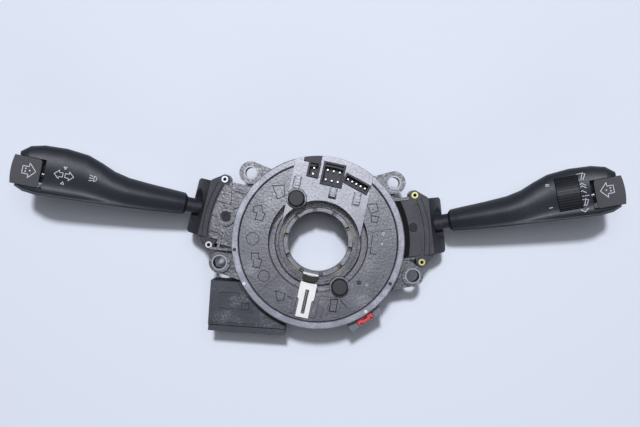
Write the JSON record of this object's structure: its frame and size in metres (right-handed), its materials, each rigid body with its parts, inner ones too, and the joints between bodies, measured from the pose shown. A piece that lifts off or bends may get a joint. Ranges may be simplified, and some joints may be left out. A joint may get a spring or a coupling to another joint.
{
  "type": "combination stalk switch",
  "caption": "Steering column switch unit: turn-signal and wiper stalks, ribbon-cable rotor round a column bore, angle sensor behind, screw eyes and plug sockets.",
  "frame": {"origin": "on the bore axis of the steering column, in the flat back face the unit rests on", "axes": "+Z along the bore towards the driver, +X to the right as the driver sees it, +Y up in the car"},
  "size_m": [0.3792, 0.1201, 0.0745],
  "materials": {
    "carrier_plastic": "glass-filled black polyamide, fine grain, a little dusty",
    "black_plastic": "satin black moulded plastic",
    "stalk_plastic": "satin black soft-grained plastic with white printed signs",
    "rim_plastic": "light grey moulded plastic",
    "grey_plastic": "mid grey moulded plastic",
    "white_plastic": "white acetal, slightly glossy",
    "red_plastic": "red moulded plastic",
    "gear_plastic": "natural acetal gears",
    "rubber": "black rubber caps",
    "steel": "zinc-plated steel",
    "yellow_zinc": "yellow-passivated zinc-plated screws",
    "contact_metal": "tinned and plated brass contacts",
    "circuit_board": "green solder mask on glass-fibre board",
    "ribbon": "amber film ribbon cable"
  },
  "bodies": {
    "housing": {"carrier": "carrier_plastic", "eye_bushes": "steel", "deck_screw": "steel", "crown_tube": "black_plastic", "sensor_housing": "black_plastic", "sensor_lid": "black_plastic", "sensor_board": "circuit_board", "sensor_screws": "steel", "cassette_case": "black_plastic", "cassette_rim": "rim_plastic", "ribbon_cable": "ribbon", "harness_box": "black_plastic", "harness_pins": "contact_metal", "airbag_plug": "grey_plastic", "module_screws": "yellow_zinc", "left_switch_housing": "black_plastic", "left_switch_lid": "black_plastic", "left_switch_board": "circuit_board", "left_switch_terminals": "contact_metal", "left_pivot_pin": "steel", "right_switch_housing": "black_plastic", "right_switch_lid": "black_plastic", "right_switch_board": "circuit_board", "right_switch_terminals": "contact_metal", "right_pivot_pin": "steel"},
    "rotor": {"rotor_disc": "black_plastic", "rotor_sleeve": "black_plastic", "hub_gear": "gear_plastic", "wheel_sockets": "black_plastic", "wheel_socket_pins": "contact_metal", "connector_plate": "black_plastic", "drive_pins": "rubber", "lock_spring": "steel"},
    "lock_slider": {"lock_slider": "white_plastic"},
    "coarse_gear": {"coarse_gear": "gear_plastic"},
    "fine_gear": {"fine_gear": "gear_plastic"},
    "airbag_lock": {"airbag_lock": "red_plastic"},
    "thumbwheel": {"thumbwheel": "stalk_plastic"},
    "left_cradle": {"left_cradle": "grey_plastic", "left_cross_pin": "steel"},
    "left_stalk": {"left_stalk_arm": "black_plastic", "left_dust_shield": "rubber", "left_stalk_front": "stalk_plastic", "left_stalk_back": "stalk_plastic", "left_button_contact": "black_plastic", "left_button_spring": "steel", "left_detent_spring": "steel"},
    "left_button": {"left_end_button": "stalk_plastic"},
    "left_plunger": {"left_detent_plunger": "white_plastic"},
    "right_cradle": {"right_cradle": "grey_plastic", "right_cross_pin": "steel"},
    "right_stalk": {"right_stalk_arm": "black_plastic", "right_dust_shield": "rubber", "right_stalk_front": "stalk_plastic", "right_stalk_back": "stalk_plastic", "right_button_contact": "black_plastic", "right_button_spring": "steel", "right_detent_spring": "steel"},
    "right_button": {"right_end_button": "stalk_plastic"},
    "right_plunger": {"right_detent_plunger": "white_plastic"}
  },
  "joints": [
    {"name": "rotor_turn", "type": "hinge", "parent": "housing", "child": "rotor", "pos_m": [0, 0, 0.03], "axis": [0, 0, 1], "range_deg": [-900, 900], "deforming": ["ribbon_cable"]},
    {"name": "lock_slide", "type": "slide", "parent": "rotor", "child": "lock_slider", "axis": [-0.1478, -0.989, 0], "range_m": [0, 0.003], "stiffness_N_per_m": 120, "springref_m": -0.001, "deforming": ["lock_spring"]},
    {"name": "coarse_gear_spin", "type": "hinge", "parent": "housing", "child": "coarse_gear", "pos_m": [-0.0124, -0.03406, 0.004], "axis": [0, 0, 1], "range_deg": [-2918.57, 2918.57]},
    {"name": "fine_gear_spin", "type": "hinge", "parent": "housing", "child": "fine_gear", "pos_m": [0.02494, -0.02455, 0.004], "axis": [0, 0, 1], "range_deg": [-3390, 3390]},
    {"name": "airbag_lock_slide", "type": "slide", "parent": "housing", "child": "airbag_lock", "axis": [0, 0, 1], "range_m": [0, 0.003]},
    {"name": "left_turn", "type": "hinge", "parent": "housing", "child": "left_cradle", "pos_m": [-0.062, 0.0149, 0.035], "axis": [0, 0, 1], "range_deg": [-9, 9]},
    {"name": "left_pull", "type": "hinge", "parent": "left_cradle", "child": "left_stalk", "pos_m": [-0.062, 0.0149, 0.035], "axis": [0.1374, 0.9905, 0], "range_deg": [-6, 6]},
    {"name": "left_button_push", "type": "slide", "parent": "left_stalk", "child": "left_button", "axis": [0.959, -0.1331, -0.2504], "range_m": [0, 0.002], "stiffness_N_per_m": 600, "springref_m": -0.002, "deforming": ["left_button_spring"]},
    {"name": "left_plunger_slide", "type": "slide", "parent": "left_stalk", "child": "left_plunger", "axis": [-0.959, 0.1331, 0.2504], "range_m": [0, 0.0008], "stiffness_N_per_m": 2000, "springref_m": -0.002, "deforming": ["left_detent_spring"]},
    {"name": "right_turn", "type": "hinge", "parent": "housing", "child": "right_cradle", "pos_m": [0.0595, 0.0132, 0.035], "axis": [0, 0, 1], "range_deg": [-18, 9]},
    {"name": "right_pull", "type": "hinge", "parent": "right_cradle", "child": "right_stalk", "pos_m": [0.0595, 0.0132, 0.035], "axis": [-0.2521, 0.9677, 0], "range_deg": [-6, 0], "stiffness_Nm_per_rad": 3},
    {"name": "right_button_push", "type": "slide", "parent": "right_stalk", "child": "right_button", "axis": [-0.9369, -0.244, -0.2504], "range_m": [0, 0.002], "stiffness_N_per_m": 600, "springref_m": -0.002, "deforming": ["right_button_spring"]},
    {"name": "right_plunger_slide", "type": "slide", "parent": "right_stalk", "child": "right_plunger", "axis": [0.9369, 0.244, 0.2504], "range_m": [0, 0.0008], "stiffness_N_per_m": 2000, "springref_m": -0.002, "deforming": ["right_detent_spring"]},
    {"name": "thumbwheel_turn", "type": "hinge", "parent": "right_stalk", "child": "thumbwheel", "pos_m": [0.15382, 0.04149, 0.05673], "axis": [0.9369, 0.244, 0.2504], "range_deg": [-18, 18]}
  ],
  "couplings": [
    {"joint": "coarse_gear_spin", "follows": "rotor_turn", "ratio": -3.1429},
    {"joint": "fine_gear_spin", "follows": "rotor_turn", "ratio": -3.6667}
  ]
}
